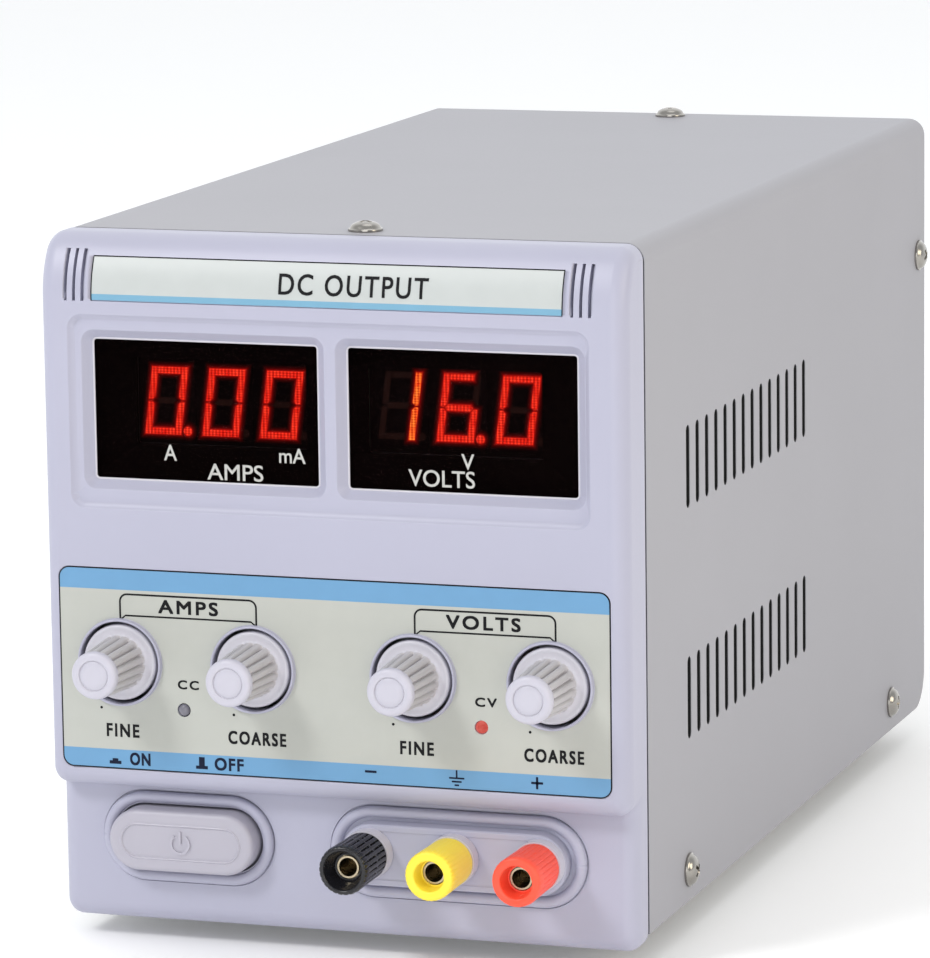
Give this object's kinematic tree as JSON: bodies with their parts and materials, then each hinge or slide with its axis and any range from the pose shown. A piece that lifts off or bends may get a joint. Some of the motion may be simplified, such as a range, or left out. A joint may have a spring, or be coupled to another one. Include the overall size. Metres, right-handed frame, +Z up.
{
  "type": "bench power supply",
  "caption": "Bench power supply: a vented steel case with a moulded front bezel, voltage and current displays, turning knobs, a latching power button and output binding posts.",
  "frame": {"origin": "on the surface the feet stand on, under the middle of the whole outline", "axes": "+X to the right seen from the front, +Y toward the rear (the front panel faces -Y), +Z up"},
  "size_m": [0.1344, 0.287, 0.1558],
  "materials": {
    "bezel": "fine satin",
    "knob": "satin",
    "cover": "fine-textured powder coat",
    "sheet_steel": "plated",
    "title_print": "printed film",
    "label_print": "printed film",
    "window": "smoked gloss",
    "rubber": "matte",
    "screw": "nickel",
    "shaft": "turned",
    "potentiometer": "phenolic",
    "circuit_board": "solder mask",
    "digit_block": "satin",
    "led_grey": "diffused lens",
    "led_red": "lit lens",
    "button": "satin",
    "white_plastic": "satin",
    "black_plastic": "satin",
    "cap_black": "knurled",
    "cap_yellow": "satin",
    "cap_red": "satin",
    "brass": "plated",
    "wire": "wire insulation",
    "core_steel": "varnished laminations",
    "coil_tape": "tape",
    "capacitor": "sleeve",
    "anodised": "black anodised",
    "red_plastic": "satin"
  },
  "bodies": {
    "case": {"front_bezel": "bezel", "cover": "cover", "chassis": "sheet_steel", "front_panel": "sheet_steel", "title_strip": "title_print", "control_label": "label_print", "window_current": "window", "window_voltage": "window", "rubber_feet": "rubber", "foot_screws": "screw", "cover_screws": "screw", "bezel_screws": "screw", "pot_current_fine": "potentiometer", "pot_current_coarse": "potentiometer", "pot_voltage_fine": "potentiometer", "pot_voltage_coarse": "potentiometer", "pot_nuts": "screw", "display_board": "circuit_board", "digits_current": "digit_block", "digits_voltage": "digit_block", "led_constant_current": "led_grey", "led_constant_voltage": "led_red", "power_switch": "black_plastic", "post_stud_negative": "brass", "post_stud_ground": "brass", "post_stud_positive": "brass", "post_insulators": "white_plastic", "post_nuts": "brass", "output_leads": "wire", "transformer_core": "core_steel", "transformer_coil": "coil_tape", "transformer_bracket": "sheet_steel", "main_board": "circuit_board", "board_standoffs": "brass", "board_chips": "black_plastic", "filter_capacitors": "capacitor", "bridge_rectifier": "black_plastic", "heat_sink": "anodised", "power_transistors": "black_plastic", "mains_inlet": "black_plastic", "fuse_holder": "black_plastic", "voltage_selector": "black_plastic"},
    "control_current_fine": {"knob_current_fine": "knob", "shaft_current_fine": "shaft"},
    "control_current_coarse": {"knob_current_coarse": "knob", "shaft_current_coarse": "shaft"},
    "control_voltage_fine": {"knob_voltage_fine": "knob", "shaft_voltage_fine": "shaft"},
    "control_voltage_coarse": {"knob_voltage_coarse": "knob", "shaft_voltage_coarse": "shaft"},
    "button": {"power_button": "button", "switch_plunger": "white_plastic"},
    "insert_negative": {"post_insert_negative": "brass"},
    "cap_negative": {"post_cap_negative": "cap_black"},
    "insert_ground": {"post_insert_ground": "brass"},
    "cap_ground": {"post_cap_ground": "cap_yellow"},
    "insert_positive": {"post_insert_positive": "brass"},
    "cap_positive": {"post_cap_positive": "cap_red"},
    "selector": {"selector_slider": "red_plastic"},
    "fuse_carrier": {"fuse_cap": "black_plastic"}
  },
  "joints": [
    {"name": "turn_current_fine", "type": "hinge", "parent": "case", "child": "control_current_fine", "pos_m": [-0.0481, -0.128, 0.0622], "axis": [0, 1, 0], "range_deg": [-150, 150]},
    {"name": "turn_current_coarse", "type": "hinge", "parent": "case", "child": "control_current_coarse", "pos_m": [-0.0179, -0.128, 0.0622], "axis": [0, 1, 0], "range_deg": [-150, 150]},
    {"name": "turn_voltage_fine", "type": "hinge", "parent": "case", "child": "control_voltage_fine", "pos_m": [0.0179, -0.128, 0.0622], "axis": [0, 1, 0], "range_deg": [-150, 150]},
    {"name": "turn_voltage_coarse", "type": "hinge", "parent": "case", "child": "control_voltage_coarse", "pos_m": [0.0481, -0.128, 0.0622], "axis": [0, 1, 0], "range_deg": [-150, 150]},
    {"name": "press_power_button", "type": "slide", "parent": "case", "child": "button", "axis": [0, -1, 0], "range_m": [0, 0.0035]},
    {"name": "travel_cap_negative", "type": "slide", "parent": "case", "child": "insert_negative", "axis": [0, -1, 0], "range_m": [0, 0.005]},
    {"name": "unscrew_cap_negative", "type": "hinge", "parent": "insert_negative", "child": "cap_negative", "pos_m": [0.0067, -0.136, 0.0235], "axis": [0, -1, 0], "range_deg": [0, 1800]},
    {"name": "travel_cap_ground", "type": "slide", "parent": "case", "child": "insert_ground", "axis": [0, -1, 0], "range_m": [0, 0.005]},
    {"name": "unscrew_cap_ground", "type": "hinge", "parent": "insert_ground", "child": "cap_ground", "pos_m": [0.02575, -0.136, 0.0235], "axis": [0, -1, 0], "range_deg": [0, 1800]},
    {"name": "travel_cap_positive", "type": "slide", "parent": "case", "child": "insert_positive", "axis": [0, -1, 0], "range_m": [0, 0.005]},
    {"name": "unscrew_cap_positive", "type": "hinge", "parent": "insert_positive", "child": "cap_positive", "pos_m": [0.0448, -0.136, 0.0235], "axis": [0, -1, 0], "range_deg": [0, 1800]},
    {"name": "slide_selector", "type": "slide", "parent": "case", "child": "selector", "axis": [1, 0, 0], "range_m": [0, 0.005]},
    {"name": "turn_fuse_cap", "type": "hinge", "parent": "case", "child": "fuse_carrier", "pos_m": [-0.038, 0.132, 0.088], "axis": [0, -1, 0], "range_deg": [0, 60]}
  ],
  "couplings": [
    {"joint": "unscrew_cap_negative", "follows": "travel_cap_negative", "rad_per_m": 6283.2},
    {"joint": "unscrew_cap_ground", "follows": "travel_cap_ground", "rad_per_m": 6283.2},
    {"joint": "unscrew_cap_positive", "follows": "travel_cap_positive", "rad_per_m": 6283.2}
  ]
}
